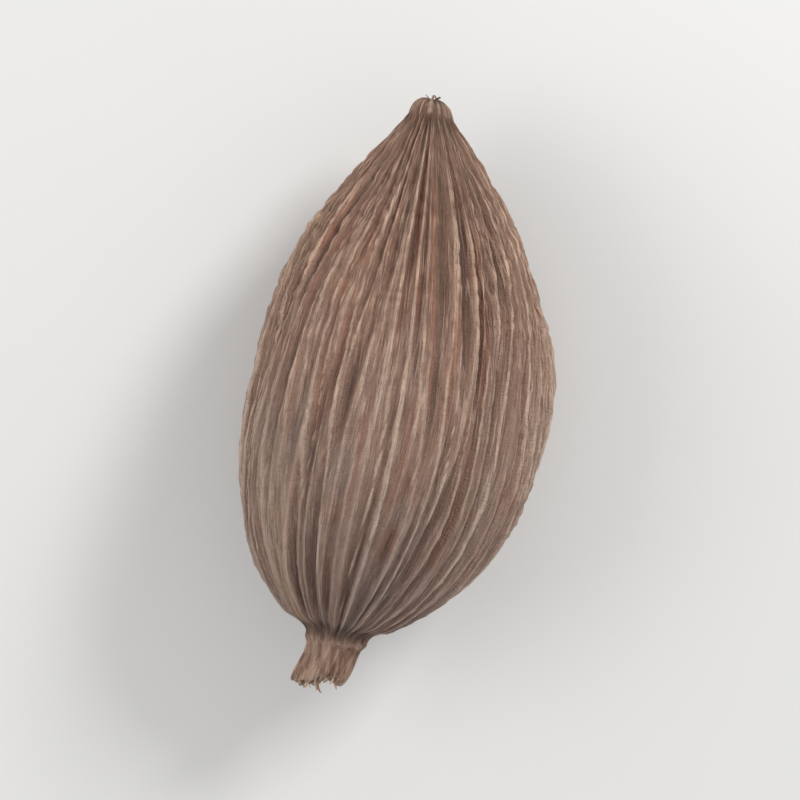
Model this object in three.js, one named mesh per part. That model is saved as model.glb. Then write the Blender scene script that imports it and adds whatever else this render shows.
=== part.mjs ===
// A dried tsao-ko cardamom pod lying on its side, as one solid in millimetres, with +Z up.
// The ribbed husk is egg-shaped: broad at the broken stalk, which points to -Y, and narrow at the
// small button that the flower's style leaves, which points to +Y. The origin is on the surface
// that the pod rests on, under the middle of its bounding box.
import * as THREE from "three";

const { clamp, degToRad, seededRandom, smoothstep } = THREE.MathUtils;
const TURN = 2 * Math.PI;

// The husk, measured along its axis from the scar where the stalk joins it.
const HUSK_LENGTH = 28.5;
const HUSK_RADIUS = 8;
const WIDEST_AT = 10.8;
const ROOT_RADIUS = 2.9;
const ROOT_AT = 0.3;
const BUTTON_RADIUS = 1.15;
const BUTTON_AT = 27.6;
const BUTTON_DIMPLE = 0.15;

// The stalk, which broke off short.
const STALK_LENGTH = 3;
const STALK_RADIUS = 1.3;
const STALK_WAIST_AT = -1.1;
const STALK_LEAN = 0.7;
const STALK_CUP = 0.8;
const STALK_FLUTES = 7;
const FLUTE_DEPTH = 0.12;

// The section is a blunt triangle, pressed a little flat, and the axis bows to one side.
const LOBES = 3;
const LOBE_SHARE = 0.03;
const FLATNESS = 0.95;
const BOW = 1.1;
const TIP_DIP = degToRad(2);

// Each rib has a foot, a crest and a foot, and a groove lies between two ribs' feet.
const RIBS = 40;
const FOOT = 0.29;
const RIB_HEIGHT = 0.42;
const LOWEST_RIB_SHARE = 0.55;
const HEIGHT_WAVER = 0.2;
const FEWEST_WAVERS = 1.5;
const GROOVE_SHARE = 0.35;
const STEEPEST = 0.42;
const TWIST = degToRad(9);
const PURPOSES = ["height", "waver start", "wavers"];

// Ribs rise over the first stretch of the husk and sink into the button, as shares of its length.
// Every other rib ends early, where the husk narrows from the first radius to the second.
const RIBS_RISE = [0, 0.04];
const RIBS_SINK = [0.95, 0.985];
const SHORT_RIBS_END = [4.6, 2.2];

// Waves of the surface. Each has its reach, how often it goes round the pod, how far it turns from
// one end to the other and where it starts. Crowding is an angle, and the rest are lengths.
const CROWDING = [
  { reach: 0.05, round: 3, turn: 2.5, start: 0.4 },
  { reach: 0.035, round: 7, turn: -4, start: 1.9 },
  { reach: 0.018, round: 14, turn: 6, start: 0 },
];
const DENTS = [
  { reach: 0.2, round: 2, turn: 5, start: 0 },
  { reach: 0.14, round: 5, turn: -7, start: 2 },
];
const BROKEN_EDGE = [
  { reach: 0.3, round: 1, turn: 0, start: 0.8 },
  { reach: 0.18, round: 3, turn: 0, start: 0 },
];

// The outline from the middle of the broken stalk to the middle of the button's dimple. Each stretch
// goes on from the last one's end, by two handles, to its own end, in some steps. A point is its
// distance from the axis and its distance along it from the scar.
const OUTLINE_START = [0, STALK_CUP - STALK_LENGTH];
const OUTLINE = {
  cup: { handles: [[0.5, -2.2], [0.9, -STALK_LENGTH]], end: [STALK_RADIUS, -STALK_LENGTH], steps: 3 },
  stalk: { handles: [[1.5, -2.4], [1.25, -1.7]], end: [STALK_RADIUS, STALK_WAIST_AT], steps: 3 },
  root: { handles: [[1.35, -0.4], [1.9, 0.1]], end: [ROOT_RADIUS, ROOT_AT], steps: 4 },
  base: { handles: [[5.2, 1.9], [HUSK_RADIUS, 5.4]], end: [HUSK_RADIUS, WIDEST_AT], steps: 13 },
  shoulder: { handles: [[HUSK_RADIUS, 18.2], [5.2, 22.3]], end: [BUTTON_RADIUS, BUTTON_AT], steps: 17 },
  button: { handles: [[1.1, 28.1], [0.5, 28.6]], end: [0, HUSK_LENGTH - BUTTON_DIMPLE], steps: 4 },
};

// Waves of the stalk and its broken end fade out this near the axis.
const FADE_RADIUS = 1;

// The flat spot is pressed this far up from the lowest rib.
const REST_DEPTH = 0.6;

function sumOf(waves, angle, share) {
  let sum = 0;
  for (const { reach, round, turn, start } of waves) {
    sum += reach * Math.sin(round * angle + turn * share + start);
  }
  return sum;
}

// A draw from 0 to 1 that is always the same for one rib and one purpose.
function draw(rib, purpose) {
  return seededRandom(RIBS * PURPOSES.indexOf(purpose) + rib);
}

// The outline as points whose x is the distance from the axis and whose y is that along it.
function podOutline() {
  const outline = [new THREE.Vector2(...OUTLINE_START)];
  for (const { handles, end, steps } of Object.values(OUTLINE)) {
    const ahead = [...handles, end].map((point) => new THREE.Vector2(...point));
    const curve = new THREE.CubicBezierCurve(outline.at(-1), ...ahead);
    outline.push(...curve.getPoints(steps).slice(1));
  }
  return outline;
}

// How high a rib stands at one place along it. None is steeper than the room between two allows.
function ribHeight(rib, share, radius) {
  const wavers = FEWEST_WAVERS + draw(rib, "wavers");
  const waver = Math.sin(TURN * (draw(rib, "waver start") + wavers * share));
  const own = RIB_HEIGHT * (LOWEST_RIB_SHARE + (1 - LOWEST_RIB_SHARE) * draw(rib, "height"));
  const room = (STEEPEST * TURN * radius) / RIBS;
  const ends = smoothstep(share, ...RIBS_RISE) * (1 - smoothstep(share, ...RIBS_SINK));
  const [whole, gone] = SHORT_RIBS_END;
  const reach = rib % 2 ? smoothstep(radius, gone, whole) : 1;
  return Math.min(own * (1 - HEIGHT_WAVER + HEIGHT_WAVER * waver), room) * ends * reach;
}

// Where one column of the surface passes one point of the outline.
function surfacePoint(column, { x: radius, y: along }) {
  const rib = Math.floor(column / 3);
  const offset = [-FOOT, 0, FOOT][column % 3];
  const share = clamp(along / HUSK_LENGTH, 0, 1);
  const home = (TURN * (rib + offset)) / RIBS;
  const angle = home + sumOf(CROWDING, home, share) + TWIST * share;
  const bulge = Math.sin(Math.PI * share);
  const offAxis = Math.min(1, radius / FADE_RADIUS);

  const relief = ribHeight(rib, share, radius) * (offset ? -GROOVE_SHARE : 1 - GROOVE_SHARE);
  const onStalk = 1 - smoothstep(along, STALK_WAIST_AT, ROOT_AT);
  const flute = FLUTE_DEPTH * onStalk * Math.cos(STALK_FLUTES * angle);
  const lobe = radius * LOBE_SHARE * bulge * Math.cos(LOBES * angle);
  const away = radius + lobe + sumOf(DENTS, angle, share) * bulge + relief + flute * offAxis;

  const downStalk = clamp(-along / STALK_LENGTH, 0, 1);
  const broken = sumOf(BROKEN_EDGE, angle, 0) * downStalk ** 2 * offAxis;
  return new THREE.Vector3(
    away * Math.sin(angle) + BOW * bulge - STALK_LEAN * downStalk ** 2,
    along + broken,
    FLATNESS * away * Math.cos(angle),
  );
}

// Turned on a lathe from the outline, then ribbed, laid down and pressed flat where it rests.
function podGeometry() {
  const outline = podOutline();
  const columns = 3 * RIBS;
  const geometry = new THREE.LatheGeometry(outline, columns);
  const positions = geometry.getAttribute("position");
  for (let n = 0; n < positions.count; n += 1) {
    const onOutline = outline[n % outline.length];
    const column = Math.floor(n / outline.length) % columns;
    const { x, y, z } = surfacePoint(onOutline.x ? column : 0, onOutline);
    positions.setXYZ(n, x, y, z);
  }
  geometry.rotateX(-TIP_DIP);
  geometry.computeBoundingBox();
  const floor = geometry.boundingBox.min.z + REST_DEPTH;
  for (let n = 0; n < positions.count; n += 1) {
    positions.setZ(n, Math.max(positions.getZ(n), floor));
  }
  geometry.computeBoundingBox();
  const middle = geometry.boundingBox.getCenter(new THREE.Vector3());
  geometry.translate(-middle.x, -middle.y, -floor);
  geometry.computeVertexNormals();
  return geometry;
}

const huskMaterial = new THREE.MeshStandardMaterial({
  color: new THREE.Color(0.46, 0.34, 0.27),
  roughness: 0.85,
  metalness: 0,
});

const pod = new THREE.Mesh(podGeometry(), huskMaterial);
pod.name = "pod";

const part = new THREE.Group();
part.add(pod);

export default part;
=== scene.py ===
"""A dried tsao-ko cardamom pod, lying on its side on a pale table and seen from straight above.

The husk is a fine copy of the frame's solid, with the folds, veins and cross wrinkles of its drying.
Torn strands stand in the break of its stalk, and withered ones in the dimple of its button."""

import math
import random
from dataclasses import dataclass

import bpy
import numpy as np
from mathutils import Matrix, Vector, noise
from mathutils.bvhtree import BVHTree


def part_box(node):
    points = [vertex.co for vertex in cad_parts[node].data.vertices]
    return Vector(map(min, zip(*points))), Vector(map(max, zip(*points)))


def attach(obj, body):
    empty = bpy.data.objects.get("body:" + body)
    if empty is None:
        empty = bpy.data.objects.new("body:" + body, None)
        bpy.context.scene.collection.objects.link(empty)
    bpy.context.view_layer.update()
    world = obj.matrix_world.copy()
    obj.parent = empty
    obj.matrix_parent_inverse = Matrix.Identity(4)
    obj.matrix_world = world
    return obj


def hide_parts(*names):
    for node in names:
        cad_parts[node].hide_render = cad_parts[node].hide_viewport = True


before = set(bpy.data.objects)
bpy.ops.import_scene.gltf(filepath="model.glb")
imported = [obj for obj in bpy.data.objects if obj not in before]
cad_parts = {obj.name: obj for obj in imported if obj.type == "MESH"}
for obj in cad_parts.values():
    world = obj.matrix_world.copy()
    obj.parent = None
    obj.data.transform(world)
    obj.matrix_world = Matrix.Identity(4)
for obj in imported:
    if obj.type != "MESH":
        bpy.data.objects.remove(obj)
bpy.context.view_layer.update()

# Sizes in metres. The pod lies along Y, with its stalk at the low end and its button at the high end.
MM = 0.001
lowest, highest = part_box("pod")
LENGTH = highest.y - lowest.y
WIDTH = highest.x - lowest.x
HEIGHT = highest.z - lowest.z
STALK_END = lowest.y
STALK_LENGTH = 3.1 * MM
SCAR = STALK_END + STALK_LENGTH
TIP = highest.y
BUTTON_LENGTH = 0.9 * MM
STALKWARD = Vector((0, -1, 0))
TIPWARD = Vector((0, 1, 0))

# Where along the pod each of its parts gives way to the next, where the tip half takes over, where
# the colours turn to the tip's, and where the ring round the scar stands.
BREAK_ENDS = (STALK_END + 0.6 * MM, STALK_END + 1.4 * MM)
BARK_ENDS = (SCAR - 0.5 * MM, SCAR + 0.5 * MM)
HUSK_BEGINS = (SCAR - 0.4 * MM, SCAR + 0.8 * MM)
BUTTON_BEGINS = (TIP - BUTTON_LENGTH - 0.3 * MM, TIP - 0.7 * BUTTON_LENGTH)
TIP_HALF_BEGINS = (0, 0.22 * LENGTH)
TINT_TURNS = (-0.35 * LENGTH, 0.3 * LENGTH)
RING = {"place": SCAR - 0.15 * MM, "spread": 0.22 * MM}

# The pale stretch by the stalk where the husk was rubbed, at an angle from its top.
RUB = {"angle": math.radians(-48), "spread": math.radians(9), "ends": (SCAR + 5.5 * MM, SCAR + 11 * MM)}

# Distances from the pod's axis on its button, and the one from which wrinkles have their full height.
# Nearer the axis they have less room, but never less than the least share of it.
CREASES_BEGIN = (0.1 * MM, 0.7 * MM)
DIMPLE_ENDS = (0.3 * MM, 0.8 * MM)
FULL_ROOM = 0.25 * WIDTH
LEAST_ROOM = 0.15


@dataclass
class Wrinkle:
    """Noise that shapes the skin. Its pitch is round the pod where that is widest, its length is
    along the pod, and its level is taken off it, so that the skin sinks between two lines."""

    height: float
    pitch: float
    length: float
    seed: int
    sharp: float = 1
    level: float = 0


DENTS = Wrinkle(height=0.30 * MM, pitch=6.5 * MM, length=11 * MM, seed=5)
FOLDS = Wrinkle(height=0.32 * MM, pitch=1.15 * MM, length=26 * MM, seed=11, sharp=2.6, level=0.4)
VEINS = Wrinkle(height=0.17 * MM, pitch=0.62 * MM, length=15 * MM, seed=23, sharp=1.8, level=0.4)
NET = Wrinkle(height=0.08 * MM, pitch=0.62 * MM, length=2.1 * MM, seed=37, level=0.4)
NOTCHES = Wrinkle(height=0.12 * MM, pitch=1.7 * MM, length=0.75 * MM, seed=41, sharp=1.5)
STALK_RIBS = Wrinkle(height=0.18 * MM, pitch=2.2 * MM, length=8 * MM, seed=53, sharp=1.2, level=0.7)
RING_WAVES = Wrinkle(height=0.24 * MM, pitch=3.0 * MM, length=40 * MM, seed=61, level=-0.7)
CREASES = Wrinkle(height=0.16 * MM, pitch=2.6 * MM, length=6 * MM, seed=71, sharp=1.4, level=0.7)

# Dents sink from the first level of their noise to the second, lines fall off this fast beside
# their middle, the borders of the net's cells are this wide, and a seed moves noise by these steps.
DENTS_SINK = (-0.1, 0.6)
LINE_FALL = 2.4
NET_BORDER = 0.30
SEED_STEP = (1, 1.7, 0)

# What ribs and their edges gain, as shares of their height, and what veins, net and notches keep of
# theirs. A pair is by the stalk and in the tip half. All of the skin shrinks a little.
RIB_GAIN = (0.3, 0.75)
EDGE_GAIN = 1.6
VEIN_SHARE = (1, 0.65)
NET_SHARE = (0.7, 1)
NOTCH_SHARE = (0.15, 1)
SHRINK = 0.10 * MM

# How often smoothing is repeated to find the body under the ribs, the ground beside an edge and the
# pod's middle line.
BODY_SMOOTHING = 60
EDGE_SMOOTHING = 4
MIDDLE_SMOOTHING = 8

# Skin that leans back under a wrinkle is smoothed a little, some times over, where the cosine of its
# angle to the smooth body's skin is under a limit.
EASINGS = 4
EASE_SMOOTHING = 2
EASE_UNDER = 0.35

# How often the solid's mesh is halved, at how many stations its middle is found, and the distance
# under which two points are one.
FINE_STEPS = 2
STATIONS = 48
TOUCHING = 0.001 * MM

# How squarely the broken face looks along the stalk, and the power of the room by which heights are
# made alike for the finish from the middle of the husk to its ends.
BREAK_FACES = (0.1, 0.6)
ROOM_POWER = 0.8


def only(piece):
    """Selects one object and nothing else, and makes it the active one."""
    bpy.ops.object.select_all(action="DESELECT")
    piece.select_set(True)
    bpy.context.view_layer.objects.active = piece


def smoothstep(low, high, value):
    """The value as a share of the way from low to high, eased at both ends."""
    share = np.clip((value - low) / (high - low), 0, 1)
    return share * share * (3 - 2 * share)


def bell(value, middle, spread):
    """A rounded peak, 1 in the middle."""
    return np.exp(-(((value - middle) / spread) ** 2))


def between(ends, share):
    """The way from one number to another, by a share that may be numbers or a socket."""
    first, last = ends
    return first + (last - first) * share


def read_points(piece, field):
    flat = np.empty(3 * len(piece.data.vertices))
    piece.data.vertices.foreach_get(field, flat)
    return flat.reshape(-1, 3)


def move_to(piece, points):
    piece.data.vertices.foreach_set("co", points.ravel())
    piece.data.update()


def keep(piece, name, values):
    """Keeps one number, or one vector, for each vertex, for the finish to read."""
    kind, field = ("FLOAT", "value") if values.ndim == 1 else ("FLOAT_VECTOR", "vector")
    attribute = piece.data.attributes.new(name, kind, "POINT")
    attribute.data.foreach_set(field, values.astype(np.float32).ravel())


def smoothed(piece, repeat):
    """The piece's points and normals as they would be with its wrinkles smoothed away."""
    before = read_points(piece, "co")
    only(piece)
    bpy.ops.object.mode_set(mode="EDIT")
    bpy.ops.mesh.select_all(action="SELECT")
    bpy.ops.mesh.vertices_smooth(factor=0.5, repeat=repeat)
    bpy.ops.object.mode_set(mode="OBJECT")
    after, outward = read_points(piece, "co"), read_points(piece, "normal")
    move_to(piece, before)
    return after, outward


def rib_space(points):
    """Where each point is on the pod, on a circle round its axis and along it, and its distance
    from the axis. Ribs run straight there, and a step round is the same from one end to the other."""
    stations = np.linspace(points[:, 1].min(), points[:, 1].max(), STATIONS)
    reach = stations[1] - stations[0]
    middles = []
    for station in stations:
        band = points[abs(points[:, 1] - station) < reach]
        middles.append((band[:, [0, 2]].min(0) + band[:, [0, 2]].max(0)) / 2)
    middles = np.array(middles)
    for _ in range(MIDDLE_SMOOTHING):
        middles[1:-1] = (middles[:-2] + 2 * middles[1:-1] + middles[2:]) / 4
    across = points[:, 0] - np.interp(points[:, 1], stations, middles[:, 0])
    up = points[:, 2] - np.interp(points[:, 1], stations, middles[:, 1])
    away = np.maximum(np.hypot(across, up), TOUCHING)
    circle = WIDTH / 2
    return np.column_stack([circle * across / away, circle * up / away, points[:, 1]]), away


def scaled(places, wrinkle):
    """The places in steps of the wrinkle's own pitch and length."""
    shift = wrinkle.seed * np.array(SEED_STEP)
    return places / np.array([wrinkle.pitch, wrinkle.pitch, wrinkle.length]) + shift


def waves(places, wrinkle):
    """Rolling noise from -1 to 1."""
    return np.array([noise.noise(Vector(place)) for place in scaled(places, wrinkle)])


def lines(places, wrinkle):
    """Thin lines, 1 along their middle, which wander along the pod, fork and meet."""
    near = 1 - np.minimum(1, LINE_FALL * abs(waves(places, wrinkle)))
    return near ** wrinkle.sharp


def net(places, wrinkle):
    """The borders of long cells, from 0 inside a cell to 1 on its border."""
    borders = []
    for place in scaled(places, wrinkle):
        distances = noise.voronoi(Vector(place))[0]
        borders.append(distances[1] - distances[0])
    return 1 - smoothstep(0, NET_BORDER, np.array(borders))


def rise_of(pattern, places, wrinkle):
    """How far a wrinkle of one pattern lifts the skin at each place."""
    return wrinkle.height * (pattern(places, wrinkle) - wrinkle.level)


def fine_husk():
    """A copy of the pod's mesh, as quads and made finer."""
    husk = bpy.data.objects.new("husk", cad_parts["pod"].data.copy())
    bpy.context.scene.collection.objects.link(husk)
    only(husk)
    bpy.ops.object.mode_set(mode="EDIT")
    bpy.ops.mesh.select_all(action="SELECT")
    bpy.ops.mesh.remove_doubles(threshold=TOUCHING)
    bpy.ops.mesh.tris_convert_to_quads(face_threshold=1.5, shape_threshold=1.5, topology_influence=200)
    bpy.ops.object.mode_set(mode="OBJECT")
    husk.data.materials.clear()
    finer = husk.modifiers.new("finer", "SUBSURF")
    finer.levels = FINE_STEPS
    finer.render_levels = FINE_STEPS
    bpy.ops.object.modifier_apply(modifier=finer.name)
    return husk


def zones_of(places, away):
    """How far each point belongs to each part of the pod, from 0 to 1, and the room for wrinkles."""
    along = places[:, 2]
    off_stalk = smoothstep(*HUSK_BEGINS, along)
    button = smoothstep(*BUTTON_BEGINS, along)
    angle = np.arctan2(places[:, 0], places[:, 1])
    rub = bell(angle, RUB["angle"], RUB["spread"]) * (1 - smoothstep(*RUB["ends"], along))
    return {
        "husk": off_stalk * (1 - button),
        "stalk": 1 - off_stalk,
        "bark": 1 - smoothstep(*BARK_ENDS, along),
        "ring": bell(along, RING["place"], RING["spread"]),
        "button": button * smoothstep(*CREASES_BEGIN, away),
        "dimple": button * (1 - smoothstep(*DIMPLE_ENDS, away)),
        "tip half": smoothstep(*TIP_HALF_BEGINS, along),
        "towards tip": smoothstep(*TINT_TURNS, along),
        "rubbed": off_stalk * rub,
        "room": np.clip(away / FULL_ROOM, LEAST_ROOM, 1),
    }


def height_over(husk, repeat, outward):
    """How far each point stands above the surface that smoothing leaves."""
    return ((read_points(husk, "co") - smoothed(husk, repeat)[0]) * outward).sum(1)


def raise_by(husk, rise, outward):
    """Moves the points outwards, but not out of the solid's box."""
    moved = read_points(husk, "co") + rise[:, None] * outward
    move_to(husk, np.clip(moved, np.array(lowest), np.array(highest)))


def fold_up(husk, places, zone, outward):
    """Deepens the ribs and adds folds, veins and dents, the scar's ring and the button's creases."""
    rise = between(RIB_GAIN, zone["tip half"]) * height_over(husk, BODY_SMOOTHING, outward)
    rise += EDGE_GAIN * height_over(husk, EDGE_SMOOTHING, outward) - SHRINK
    rise += zone["room"] * rise_of(lines, places, FOLDS)
    veins = between(VEIN_SHARE, zone["tip half"]) * rise_of(lines, places, VEINS)
    dents = DENTS.height * smoothstep(*DENTS_SINK, waves(places, DENTS))
    rise += zone["room"] * (veins - dents)
    rise *= zone["husk"]
    rise += zone["stalk"] * rise_of(lines, places, STALK_RIBS)
    rise += zone["ring"] * rise_of(waves, places, RING_WAVES)
    rise += zone["button"] * rise_of(lines, places, CREASES)
    raise_by(husk, rise, outward)


def pucker(husk, places, zone, notches, outward):
    """Adds the fine net between the folds, lowest by the stalk, and the notches that cross them."""
    rise = between(NET_SHARE, zone["tip half"]) * rise_of(net, places, NET)
    rise -= NOTCHES.height * notches
    raise_by(husk, zone["husk"] * zone["room"] * rise, outward)


def ease_folds(husk, outward):
    """Smooths the skin where it leans back under a wrinkle."""
    only(husk)
    for _ in range(EASINGS):
        bpy.ops.object.mode_set(mode="EDIT")
        bpy.ops.mesh.select_all(action="DESELECT")
        bpy.ops.object.mode_set(mode="OBJECT")
        faces = husk.data.polygons
        facing = [face.normal.dot(Vector(outward[face.vertices[0]])) for face in faces]
        faces.foreach_set("select", np.array(facing) < EASE_UNDER)
        bpy.ops.object.mode_set(mode="EDIT")
        bpy.ops.mesh.vertices_smooth(factor=0.5, repeat=EASE_SMOOTHING)
        bpy.ops.object.mode_set(mode="OBJECT")


def husk_piece():
    """The husk, shrivelled, with what its finish reads kept on its points."""
    husk = fine_husk()
    places, away = rib_space(read_points(husk, "co"))
    zone = zones_of(places, away)
    outward = smoothed(husk, BODY_SMOOTHING)[1]
    fold_up(husk, places, zone, outward)
    narrowing = zone["room"] ** ROOM_POWER
    crest = height_over(husk, BODY_SMOOTHING, outward) / narrowing
    edge = height_over(husk, EDGE_SMOOTHING, outward) / narrowing
    notches = zone["husk"] * between(NOTCH_SHARE, zone["tip half"]) * lines(places, NOTCHES)
    pucker(husk, places, zone, notches, outward)
    ease_folds(husk, outward)

    facing = read_points(husk, "normal")[:, 1]
    on_break = (1 - smoothstep(*BREAK_ENDS, places[:, 2])) * smoothstep(*BREAK_FACES, -facing)
    kept = {
        "rib_space": places / MM,
        "crest": crest / MM,
        "edge": edge / MM,
        "notch": notches,
        "towards_tip": zone["towards tip"],
        "stalk": zone["bark"],
        "break": on_break,
        "dimple": zone["dimple"],
        "rubbed": zone["rubbed"],
    }
    for name, values in kept.items():
        keep(husk, name, values)
    only(husk)
    bpy.ops.object.shade_smooth()
    return husk


@dataclass
class Texture:
    """Noise in a finish, drawn out where its stretch is small. It shows from the first level to the
    second, or in thin lines from the first distance to the second off the noise's middle."""

    stretch: tuple
    scale: float
    detail: float = 3.0
    roughness: float = 0.5
    shows: tuple = (0, 1)


# Textures in millimetres of rib space, most of them drawn out along the pod. The break of the stalk
# turns from pith to cream between two levels of the grain of its own.
RED_STRANDS = Texture((1, 1, 0.06), scale=1.4, roughness=0.55, shows=(0.5, 0.68))
BLOTCHES = Texture((1, 1, 0.5), scale=0.28, roughness=0.6, shows=(0.50, 0.34))
WORN_RIBS = Texture((1, 1, 0.03), scale=0.8, detail=2.0, shows=(0.47, 0.60))
FIBRES = Texture((1, 1, 0.07), scale=6.0, detail=5.0, roughness=0.65, shows=(0.35, 0.6))
GRAIN = Texture((1, 1, 1), scale=9.0, detail=5.0, roughness=0.7, shows=(0.5, 0.75))
THREADS = Texture((1, 1, 0.05), scale=2.6, detail=2.0, shows=(0.045, 0))
HAIRS = Texture((1, 1, 0.07), scale=7.0, detail=2.0, shows=(0.07, 0))
CRINKLES = Texture((0.7, 0.7, 1.5), scale=2.2, shows=(0.05, 0))
PITH_SHOWS = (0.40, 0.60)

# Textures in metres of the pod's own space, drawn out along the stalk and along its strands.
BARK_FIBRES = Texture((1000, 110, 1000), scale=4.0, detail=4.0, roughness=0.65, shows=(0.40, 0.58))
STRAND_STRETCHES = Texture((1000, 500, 1000), scale=2.0, shows=(0.35, 0.65))
STRAND_GRAIN = Texture((1000, 200, 1000), scale=14.0, shows=(0.5, 0.7))

# Heights in millimetres over which the husk's colours change, and how far fibres shift them.
GROOVES_END = (-0.22, 0.04)
CRESTS_BEGIN = (0.05, 0.34)
EDGES_BEGIN = (0.008, 0.036)
FIBRES_ON_CREST = 0.14
FIBRES_ON_EDGE = 0.03

# How much of each layer of colour shows, by the stalk and at the tip, or all over.
RED_SHOWN = (0.35, 0.90)
# The grey mottling is the husk's own. Its larger share by the stalk is painted reflection.
GREY_SHOWN_WITH_PAINTED_REFLECTION = (0.4, 0.1)
CREST_SHOWN = (0.18, 0.46)
EDGE_SHOWN = (0.32, 0.57)
FINE_LINES_SHOWN = (0.22, 0.47)
CREST_SHOWN_WORN = 0.45
EDGE_SHOWN_WORN = 0.50
EDGE_LOST_IN_NOTCH = 0.6
NOTCH_SHOWN = 0.22
CRINKLES_SHOWN = 0.06
GRAIN_SHOWN = 0.25
RUB_SHOWN = 0.6
DIMPLE_SHOWN = 0.8

# How far each texture stands out in the bumps of the husk, where bark is only on the stalk.
RELIEF = {
    "fibres": 0.5,
    "threads": 0.22,
    "hairs": -0.12,
    "crinkles": -0.12,
    "grain": 0.5,
    "bark": 0.7,
}

# The feel of the husk and of its strands: roughness from the grain's lows to its highs, and bumps.
HUSK_ROUGHNESS = (0.48, 0.78)
HUSK_SHEEN = 0.45
HUSK_BUMP = 0.18 * MM
STRAND_GRAIN_SHOWN = 0.3
STRAND_ROUGHNESS = (0.55, 0.75)
STRAND_BUMP = 0.05 * MM

# Colours of the dried husk, linear, with a painted reflection over its stalk half.
GROOVE = (0.118, 0.064, 0.044, 1)
GROUND = (0.350, 0.212, 0.148, 1)
CREST = (0.74, 0.545, 0.41, 1)
RED = (0.37, 0.155, 0.095, 1)
GREY = (0.42, 0.33, 0.27, 1)
# Painted reflection: a cool grey multiplied over the stalk's half of the husk, giving way to the warm
# tint at the tip.
BASE_PAINTED_REFLECTION = (0.89, 0.92, 0.985, 1)
TIP_TINT = (1.00, 0.935, 0.90, 1)
BUFF = (0.68, 0.48, 0.34, 1)
BARK = (0.70, 0.475, 0.345, 1)
BARK_STREAK = (0.36, 0.195, 0.13, 1)
CREAM = (0.82, 0.64, 0.49, 1)
PITH = (0.50, 0.295, 0.20, 1)


class Signal:
    """A socket in a finish. Arithmetic on it adds Math nodes."""

    def __init__(self, finish, socket):
        self.finish = finish
        self.socket = socket

    def math(self, operation, *values):
        return self.finish.node("ShaderNodeMath", {"operation": operation}, dict(enumerate(values)))

    def __add__(self, other):
        return self.math("ADD", self, other)

    def __radd__(self, other):
        return self.math("ADD", other, self)

    def __sub__(self, other):
        return self.math("SUBTRACT", self, other)

    def __rsub__(self, other):
        return self.math("SUBTRACT", other, self)

    def __mul__(self, other):
        return self.math("MULTIPLY", self, other)

    def __rmul__(self, other):
        return self.math("MULTIPLY", other, self)

    def __abs__(self):
        return self.math("ABSOLUTE", self)


class Finish:
    """One material, made node by node."""

    NOISE_MIDDLE = 0.5

    # A Mix node's sockets for colours, which have the same names as those for numbers.
    MIX_SHARE, MIX_FIRST, MIX_SECOND, MIX_RESULT = 0, 6, 7, 2

    def __init__(self, name):
        self.material = bpy.data.materials.new(name)
        self.material.use_nodes = True
        self.tree = self.material.node_tree
        self.tree.nodes.clear()

    def node(self, kind, settings=None, inputs=None, output=0):
        """Adds a node, sets its settings and then its sockets' values or links."""
        made = self.tree.nodes.new(kind)
        for name, value in (settings or {}).items():
            setattr(made, name, value)
        for name, value in (inputs or {}).items():
            if isinstance(value, Signal):
                self.tree.links.new(value.socket, made.inputs[name])
            else:
                made.inputs[name].default_value = value
        return Signal(self, made.outputs[output]) if made.outputs else None

    def attribute(self, name, output="Fac"):
        return self.node("ShaderNodeAttribute", {"attribute_name": name}, output=output)

    def own_place(self):
        return self.node("ShaderNodeTexCoord", output="Object")

    def spread(self, value, low, high):
        """The value as a share of the way from low to high, eased at both ends."""
        settings = {"interpolation_type": "SMOOTHSTEP"}
        inputs = {"Value": value, "From Min": low, "From Max": high}
        return self.node("ShaderNodeMapRange", settings, inputs)

    def texture(self, place, kind):
        """The texture's noise, from 0 to 1."""
        inputs = {"Vector": place, "Scale": kind.stretch}
        stretched = self.node("ShaderNodeMapping", {}, inputs, output="Vector")
        amounts = {"Scale": kind.scale, "Detail": kind.detail, "Roughness": kind.roughness}
        return self.node("ShaderNodeTexNoise", {}, {"Vector": stretched} | amounts, output="Fac")

    def patches(self, place, kind):
        """Patches where the noise is past its first level, 1 past its second."""
        return self.spread(self.texture(place, kind), *kind.shows)

    def threads(self, place, kind):
        """Thin lines where the noise passes its middle, 1 along each line."""
        return self.spread(abs(self.texture(place, kind) - self.NOISE_MIDDLE), *kind.shows)

    def blend(self, share, first, second, how="MIX"):
        settings = {"data_type": "RGBA", "blend_type": how}
        inputs = {self.MIX_SHARE: share, self.MIX_FIRST: first, self.MIX_SECOND: second}
        return self.node("ShaderNodeMix", settings, inputs, output=self.MIX_RESULT)

    def layered(self, colour, *layers):
        """The colour under layers of other colours, each with its share."""
        for share, other in layers:
            colour = self.blend(share, colour, other)
        return colour

    def bumped(self, height, distance):
        inputs = {"Height": height, "Strength": 1.0, "Distance": distance}
        return self.node("ShaderNodeBump", {}, inputs, output="Normal")

    def surface(self, **inputs):
        sockets = {name.replace("_", " "): value for name, value in inputs.items()}
        shader = self.node("ShaderNodeBsdfPrincipled", {}, sockets)
        self.node("ShaderNodeOutputMaterial", {}, {"Surface": shader})
        return self.material


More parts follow.
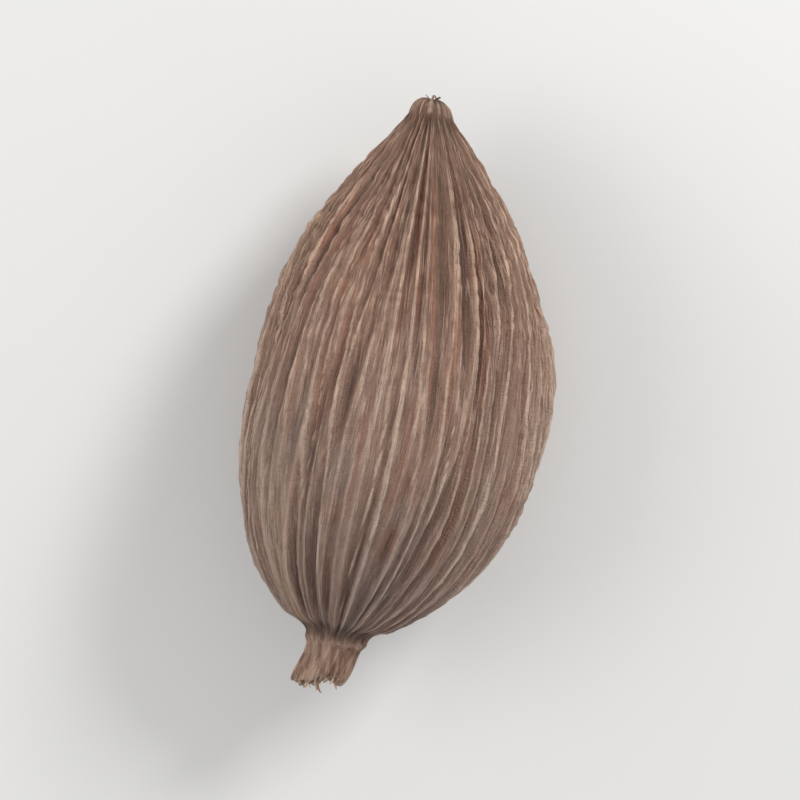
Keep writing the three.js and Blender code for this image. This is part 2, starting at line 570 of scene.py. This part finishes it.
def husk_finish():
    """Dark in its grooves and pale on its crests, redder at the tip and greyer by the stalk, where a
    cool grey painted reflection lies over the husk's own grey mottling.
    """
    finish = Finish("dried_husk")
    place = finish.attribute("rib_space", "Vector")
    towards_tip = finish.attribute("towards_tip")
    notch = finish.attribute("notch")
    fibres = finish.texture(place, FIBRES)
    grain = finish.texture(place, GRAIN)
    threads = finish.threads(place, THREADS)
    hairs = finish.threads(place, HAIRS)
    crinkles = finish.threads(place, CRINKLES)
    worn = finish.patches(place, WORN_RIBS)

    fibre_shift = fibres - finish.NOISE_MIDDLE
    height = finish.attribute("crest") + FIBRES_ON_CREST * fibre_shift
    crests = finish.spread(height, *CRESTS_BEGIN)
    crests = crests * (between(CREST_SHOWN, towards_tip) + CREST_SHOWN_WORN * worn)
    edges = finish.spread(finish.attribute("edge") + FIBRES_ON_EDGE * fibre_shift, *EDGES_BEGIN)
    edges = edges * (1 - EDGE_LOST_IN_NOTCH * notch)
    edges = edges * (between(EDGE_SHOWN, towards_tip) + EDGE_SHOWN_WORN * worn)
    fine_lines = between(FINE_LINES_SHOWN, towards_tip)
    colour = finish.layered(
        finish.blend(finish.spread(height, *GROOVES_END), GROOVE, GROUND),
        (finish.patches(place, RED_STRANDS) * between(RED_SHOWN, towards_tip), RED),
        (finish.patches(place, BLOTCHES) * between(GREY_SHOWN_WITH_PAINTED_REFLECTION, towards_tip), GREY),
        (crests, CREST),
        (edges, CREST),
        (threads * fine_lines, CREST),
        (hairs * fine_lines, GROOVE),
        (NOTCH_SHOWN * notch, GROOVE),
        (CRINKLES_SHOWN * crinkles, GROOVE),
        (GRAIN_SHOWN * finish.spread(grain, *GRAIN.shows), GREY),
    )
    # A cool grey painted reflection towards the stalk, turning to a warm tint at the tip.
    tint_with_painted_reflection = finish.blend(towards_tip, BASE_PAINTED_REFLECTION, TIP_TINT)
    rubbed = finish.attribute("rubbed") * finish.spread(fibres, *FIBRES.shows)

    stalk = finish.attribute("stalk")
    bark = finish.texture(finish.own_place(), BARK_FIBRES)
    stub = finish.blend(finish.spread(bark, *BARK_FIBRES.shows), BARK_STREAK, BARK)
    torn_face = finish.blend(finish.spread(grain, *PITH_SHOWS), PITH, CREAM)
    colour = finish.layered(
        finish.blend(1.0, colour, tint_with_painted_reflection, "MULTIPLY"),
        (RUB_SHOWN * rubbed, BUFF),
        (DIMPLE_SHOWN * finish.attribute("dimple"), GROOVE),
        (stalk, finish.blend(finish.attribute("break"), stub, torn_face)),
    )

    relief = RELIEF["fibres"] * fibres + RELIEF["threads"] * threads + RELIEF["hairs"] * hairs
    relief += RELIEF["crinkles"] * crinkles + RELIEF["grain"] * grain + RELIEF["bark"] * stalk * bark
    return finish.surface(
        Base_Color=colour,
        Roughness=between(HUSK_ROUGHNESS, grain),
        Normal=finish.bumped(relief, HUSK_BUMP),
        Specular_IOR_Level=HUSK_SHEEN,
    )


def strand_finish(name, pale, dark):
    """Dry plant fibre, with pale and dark stretches along each strand."""
    finish = Finish(name)
    place = finish.own_place()
    grain = finish.texture(place, STRAND_GRAIN)
    colour = finish.blend(finish.patches(place, STRAND_STRETCHES), dark, pale)
    dark_grain = STRAND_GRAIN_SHOWN * finish.spread(grain, *STRAND_GRAIN.shows)
    return finish.surface(
        Base_Color=finish.blend(dark_grain, colour, dark),
        Roughness=between(STRAND_ROUGHNESS, grain),
        Normal=finish.bumped(grain, STRAND_BUMP),
    )


# Strands. Each is drawn out of a hexagon in steps, leaning more and growing thinner at each. They
# stand at golden angles round the middle, and a random part of a step further out each.
STRAND = {"length": 1.0 * MM, "radius": 0.08 * MM, "steps": 5, "lean": 0.025 * MM, "taper": 0.88}
STRAND_SIDES = 6
GOLDEN_ANGLE = math.radians(137.5)
ROOT_STEPS = (0.3, 0.7)
ROOT_DEPTH = 0.15 * MM
MOST_TILT = math.radians(22)
END_REACH = 0.5 * MM


@dataclass
class Tuft:
    """Strands that stand over the middle of one end of the pod, near a place along it. Each draws
    its thickness and its length, as shares of the model strand's, between two limits."""

    place: float
    heading: Vector
    radius: float
    count: int
    thickness: tuple
    length: tuple
    seed: int


TORN = Tuft(
    place=STALK_END + 0.8 * MM,
    heading=STALKWARD,
    radius=1.0 * MM,
    count=18,
    thickness=(0.6, 1.3),
    length=(0.35, 0.85),
    seed=3,
)
WITHERED = Tuft(
    place=TIP - 0.4 * MM,
    heading=TIPWARD,
    radius=0.3 * MM,
    count=7,
    thickness=(0.8, 1.3),
    length=(0.28, 0.42),
    seed=8,
)


def strand():
    """One torn strand that stands up from the origin, to copy."""
    radius = STRAND["radius"]
    bpy.ops.mesh.primitive_circle_add(vertices=STRAND_SIDES, radius=radius, fill_type="NGON")
    piece = bpy.context.object
    bpy.ops.object.mode_set(mode="EDIT")
    top = Vector((0, 0, 0))
    for step in range(STRAND["steps"]):
        rise = Vector((STRAND["lean"] * step, 0, STRAND["length"] / STRAND["steps"]))
        top += rise
        bpy.ops.mesh.extrude_region_move(TRANSFORM_OT_translate={"value": rise})
        bpy.ops.transform.resize(value=(STRAND["taper"],) * 3, center_override=top)
    bpy.ops.mesh.select_all(action="SELECT")
    bpy.ops.mesh.normals_make_consistent(inside=False)
    bpy.ops.object.mode_set(mode="OBJECT")
    return piece


def roots_on(husk, kind, draw):
    """Places spread over the middle of one end of the husk, each on its surface."""
    points = read_points(husk, "co")
    near_end = points[abs(points[:, 1] - kind.place) < END_REACH]
    middle = Vector((near_end.min(0) + near_end.max(0)) / 2)
    surface = BVHTree.FromObject(husk, bpy.context.evaluated_depsgraph_get())
    roots = []
    for n in range(kind.count):
        away = kind.radius * math.sqrt((n + draw.uniform(*ROOT_STEPS)) / kind.count)
        side = Vector((away * math.cos(n * GOLDEN_ANGLE), 0, away * math.sin(n * GOLDEN_ANGLE)))
        start = middle + side + LENGTH * kind.heading
        roots.append(surface.ray_cast(start, -kind.heading)[0])
    return roots


def tuft(name, husk, kind):
    """Strands that stand in the husk, each leaning its own way, joined as one piece."""
    draw = random.Random(kind.seed)
    roots = roots_on(husk, kind, draw)
    model = strand()
    upright = kind.heading.to_track_quat("Z", "X").to_matrix().to_4x4()
    limits = (kind.thickness, kind.thickness, kind.length)
    copies = []
    for root in roots:
        copy = model.copy()
        copy.data = model.data.copy()
        bpy.context.scene.collection.objects.link(copy)
        spin = Matrix.Rotation(draw.uniform(0, math.tau), 4, "Z")
        tilt = Matrix.Rotation(draw.uniform(0, MOST_TILT), 4, "X")
        sizes = [draw.uniform(*limit) for limit in limits]
        stretch = Matrix.Diagonal((*sizes, 1))
        place = Matrix.Translation(root - ROOT_DEPTH * kind.heading)
        copy.data.transform(place @ upright @ spin @ tilt @ stretch)
        copies.append(copy)
    bpy.data.objects.remove(model)
    only(copies[0])
    for copy in copies:
        copy.select_set(True)
    bpy.ops.object.join()
    piece = bpy.context.object
    piece.name = name
    bpy.ops.object.shade_smooth()
    return piece


# The studio. Places and sizes of lights are in pod lengths from the origin, their powers in watts
# and the lens in millimetres.
TABLE_SIZE = 60 * LENGTH
TABLE_MOTTLE = Texture((1, 1, 1), scale=30.0)
TABLE_DARK = (0.78, 0.77, 0.75, 1)
TABLE_PALE = (0.82, 0.81, 0.79, 1)
SKY = {"Color": (0.97, 0.98, 1, 1), "Strength": 0.56}
LIGHTS = {
    "key": {"place": (2.8, 3.6, 4.0), "size": 1.7, "power": 0.186},
    "fill": {"place": (-4.0, -0.4, 3.6), "size": 3.5, "power": 0.085},
}
MIDDLE = Vector((0, (lowest.y + highest.y) / 2, HEIGHT / 2))
LENS = 150
POD_SHARE_OF_VIEW = 0.76
CAMERA_TURN = math.radians(10)


def lay_table():
    bpy.ops.mesh.primitive_plane_add(size=TABLE_SIZE, location=(0, 0, 0))
    table = bpy.context.object
    table.name = "table"
    paper = Finish("pale_table")
    colour = paper.blend(paper.texture(paper.own_place(), TABLE_MOTTLE), TABLE_DARK, TABLE_PALE)
    finish = paper.surface(Base_Color=colour, Roughness=0.9, Specular_IOR_Level=0.15)
    table.data.materials.append(finish)


def light_studio():
    world = bpy.data.worlds.new("studio")
    bpy.context.scene.world = world
    world.use_nodes = True
    for name, value in SKY.items():
        world.node_tree.nodes["Background"].inputs[name].default_value = value
    for name, kind in LIGHTS.items():
        lamp = bpy.data.lights.new(name, "AREA")
        lamp.size = kind["size"] * LENGTH
        lamp.energy = kind["power"]
        light = bpy.data.objects.new(name, lamp)
        bpy.context.scene.collection.objects.link(light)
        light.location = Vector(kind["place"]) * LENGTH
        light.rotation_euler = (MIDDLE - light.location).to_track_quat("-Z", "Y").to_euler()


def set_camera():
    """A long lens that looks straight down, turned so that the pod leans in the picture."""
    lens = bpy.data.cameras.new("camera")
    lens.lens = LENS
    lens.clip_start = 0.01
    lens.clip_end = 10
    camera = bpy.data.objects.new("camera", lens)
    bpy.context.scene.collection.objects.link(camera)
    view_width = LENGTH / POD_SHARE_OF_VIEW
    distance = view_width * lens.lens / lens.sensor_width
    camera.location = MIDDLE + Vector((0, 0, distance))
    camera.rotation_euler = (0, 0, CAMERA_TURN)
    bpy.context.scene.camera = camera
    bpy.context.scene.view_settings.view_transform = "Standard"


husk = husk_piece()
husk.data.materials.append(husk_finish())
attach(husk, "root")
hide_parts("pod")

stalk_strands = tuft("stalk_strands", husk, TORN)
stalk_strands.data.materials.append(strand_finish("torn_fibre", CREAM, PITH))
style_strands = tuft("style_strands", husk, WITHERED)
style_strands.data.materials.append(strand_finish("withered_fibre", PITH, GROOVE))
for strands in (stalk_strands, style_strands):
    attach(strands, "root")

lay_table()
light_studio()
set_camera()
